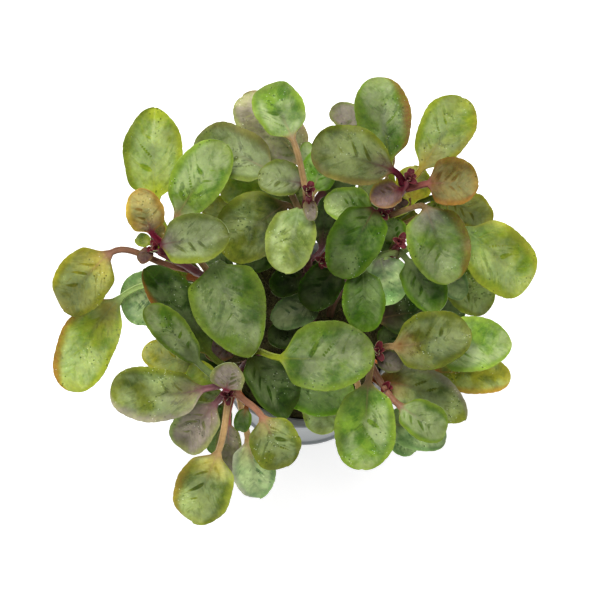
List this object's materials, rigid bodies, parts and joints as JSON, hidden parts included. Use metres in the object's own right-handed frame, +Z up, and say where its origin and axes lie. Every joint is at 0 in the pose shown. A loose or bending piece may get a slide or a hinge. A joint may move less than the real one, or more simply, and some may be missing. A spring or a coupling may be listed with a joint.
{
  "type": "potted mini cardinal flower",
  "caption": "Young mini cardinal flower with round, long-stalked green and bronze leaves on dark red stems, rooted in mineral wool in a small round grey pot.",
  "frame": {"origin": "middle of the pot's flat base, on the surface that it stands on", "axes": "+Z up the pot's axis; +Y points away from the viewer and +X to the viewer's right, in a view from nearly straight above"},
  "size_m": [0.1215, 0.1104, 0.1052],
  "materials": {
    "pot": "satin, slightly cloudy",
    "wool": "damp matted fibre",
    "stem": "satin",
    "leaf_lime": "satin, waxy",
    "leaf_green": "satin, waxy",
    "leaf_deep": "satin, waxy",
    "leaf_teal": "satin, waxy",
    "leaf_olive": "satin, waxy",
    "leaf_bronze": "satin, waxy",
    "leaf_purple": "satin, waxy"
  },
  "bodies": {
    "root": {"pot": "pot", "wool_plug": "wool", "left_stem": "stem", "front_left_stem": "stem", "front_stem": "stem", "front_right_stem": "stem", "right_stem": "stem", "back_right_stem": "stem", "middle_stem": "stem", "back_stem": "stem", "centre_stem": "stem", "left_leaf_1": "leaf_lime", "left_leaf_2": "leaf_bronze", "left_leaf_3": "leaf_olive", "left_leaf_4": "leaf_green", "left_leaf_5": "leaf_olive", "left_leaf_6": "leaf_lime", "left_leaf_7": "leaf_green", "front_left_leaf_1": "leaf_deep", "front_left_leaf_2": "leaf_green", "front_left_leaf_3": "leaf_olive", "front_left_leaf_4": "leaf_olive", "front_left_leaf_5": "leaf_purple", "front_left_leaf_6": "leaf_teal", "front_left_leaf_7": "leaf_olive", "front_left_leaf_8": "leaf_green", "front_left_leaf_9": "leaf_teal", "front_leaf_1": "leaf_deep", "front_leaf_2": "leaf_green", "front_leaf_3": "leaf_green", "front_leaf_4": "leaf_olive", "front_right_leaf_1": "leaf_olive", "front_right_leaf_2": "leaf_green", "front_right_leaf_3": "leaf_teal", "front_right_leaf_4": "leaf_olive", "front_right_leaf_5": "leaf_olive", "front_right_leaf_6": "leaf_lime", "front_right_leaf_7": "leaf_bronze", "right_leaf_1": "leaf_green", "right_leaf_2": "leaf_teal", "right_leaf_3": "leaf_green", "right_leaf_4": "leaf_lime", "right_leaf_5": "leaf_olive", "right_leaf_6": "leaf_deep", "back_right_leaf_1": "leaf_green", "back_right_leaf_2": "leaf_lime", "back_right_leaf_3": "leaf_bronze", "back_right_leaf_4": "leaf_bronze", "back_right_leaf_5": "leaf_purple", "back_right_leaf_6": "leaf_lime", "back_right_leaf_7": "leaf_olive", "back_right_leaf_8": "leaf_deep", "middle_leaf_1": "leaf_deep", "middle_leaf_2": "leaf_green", "back_leaf_1": "leaf_lime", "back_leaf_2": "leaf_bronze", "back_leaf_3": "leaf_olive", "back_leaf_4": "leaf_green", "back_leaf_5": "leaf_lime", "back_leaf_6": "leaf_olive"}
  },
  "joints": []
}
